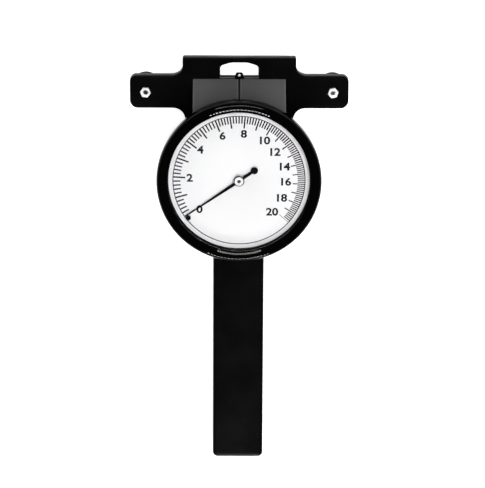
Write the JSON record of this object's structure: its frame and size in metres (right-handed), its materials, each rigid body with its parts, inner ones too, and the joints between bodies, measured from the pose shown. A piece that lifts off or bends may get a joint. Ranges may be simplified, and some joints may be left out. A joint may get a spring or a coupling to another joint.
{
  "type": "dial tension gauge",
  "caption": "Hand-held tension gauge with a round dial, a T-shaped head with guide rollers and a sprung measuring roller, and a bar handle.",
  "frame": {"origin": "on the dial's axis, in the plane of the back cover that the gauge rests on", "axes": "+Z out of the dial, +Y towards the roller arms, -Y along the handle"},
  "size_m": [0.118, 0.2282, 0.0455],
  "materials": {
    "black_cast": "satin black paint on cast metal",
    "black_moulded": "satin black",
    "black_gloss": "gloss black",
    "grey_satin": "satin dark grey",
    "bright_steel": "bright",
    "dark_steel": "blackened",
    "aluminium": "turned",
    "brass": "machined",
    "rubber": "matte",
    "glass": "clear",
    "white_dial": "satin white",
    "black_paint": "satin black"
  },
  "bodies": {
    "housing": {"adjuster_lock_nut": "bright_steel", "bezel": "black_gloss", "body_housing": "black_cast", "crystal": "glass", "crystal_gasket": "rubber", "dial_case": "black_cast", "dial_plate": "white_dial", "guide_roller_bolt_1": "bright_steel", "guide_roller_bolt_2": "bright_steel", "guide_roller_nut_1": "bright_steel", "guide_roller_nut_2": "bright_steel", "guide_roller_spacer_1": "aluminium", "guide_roller_spacer_2": "aluminium", "hairspring": "bright_steel", "hairspring_stud": "brass", "handle": "black_moulded", "handle_screw_1": "dark_steel", "handle_screw_2": "dark_steel", "lower_slide_guide": "brass", "measuring_spring": "bright_steel", "movement_base_plate": "brass", "movement_base_screw_1": "bright_steel", "movement_base_screw_2": "bright_steel", "movement_screw_1": "bright_steel", "movement_screw_2": "bright_steel", "movement_screw_3": "bright_steel", "movement_top_plate": "brass", "rear_cover": "black_cast", "rear_cover_screw_1": "dark_steel", "rear_cover_screw_2": "dark_steel", "rear_cover_screw_3": "dark_steel", "rear_cover_screw_4": "dark_steel", "sector_arbor_bush": "brass", "shoulder_cover": "grey_satin", "shoulder_cover_screw_1": "dark_steel", "shoulder_cover_screw_2": "dark_steel", "slide_guide_screw_1": "dark_steel", "slide_guide_screw_2": "dark_steel", "slide_guide_screw_3": "dark_steel", "slide_guide_screw_4": "dark_steel", "spring_adjuster": "brass", "stop_lug": "black_paint", "stop_pin": "bright_steel", "upper_slide_guide": "brass", "zero_stop_pin": "black_paint"},
    "slide_assembly": {"measuring_slide": "bright_steel", "spring_seat": "brass", "measuring_axle": "bright_steel"},
    "centre_roller": {"measuring_roller": "dark_steel", "measuring_bearing": "bright_steel"},
    "left_roller": {"left_guide_roller": "dark_steel", "left_roller_bearing": "bright_steel"},
    "right_roller": {"right_guide_roller": "dark_steel", "right_roller_bearing": "bright_steel"},
    "sector_assembly": {"sector_arbor": "bright_steel", "sector_gear": "brass"},
    "pointer_assembly": {"pointer_arbor": "dark_steel", "pointer": "black_paint", "pointer_hub": "aluminium"}
  },
  "joints": [
    {"name": "measuring_travel", "type": "slide", "parent": "housing", "child": "slide_assembly", "axis": [0, -1, 0], "range_m": [0, 0.004], "stiffness_N_per_m": 1500, "deforming": ["measuring_spring"]},
    {"name": "measuring_roller_spin", "type": "hinge", "parent": "slide_assembly", "child": "centre_roller", "pos_m": [0, 0.0414, 0.008], "axis": [0, 0, 1], "continuous": true},
    {"name": "left_roller_spin", "type": "hinge", "parent": "housing", "child": "left_roller", "pos_m": [-0.0506, 0.044, 0.008], "axis": [0, 0, 1], "continuous": true},
    {"name": "right_roller_spin", "type": "hinge", "parent": "housing", "child": "right_roller", "pos_m": [0.0506, 0.044, 0.008], "axis": [0, 0, 1], "continuous": true},
    {"name": "sector_turn", "type": "hinge", "parent": "housing", "child": "sector_assembly", "pos_m": [0.01004, -0.01004, 0.0277], "axis": [0, 0, 1], "range_deg": [0, 57.4]},
    {"name": "pointer_turn", "type": "hinge", "parent": "housing", "child": "pointer_assembly", "pos_m": [0, 0, 0.0403], "axis": [0, 0, -1], "range_deg": [0, 256]}
  ],
  "couplings": [
    {"joint": "sector_turn", "follows": "measuring_travel", "rad_per_m": 250},
    {"joint": "pointer_turn", "follows": "measuring_travel", "rad_per_m": 1115.4}
  ]
}
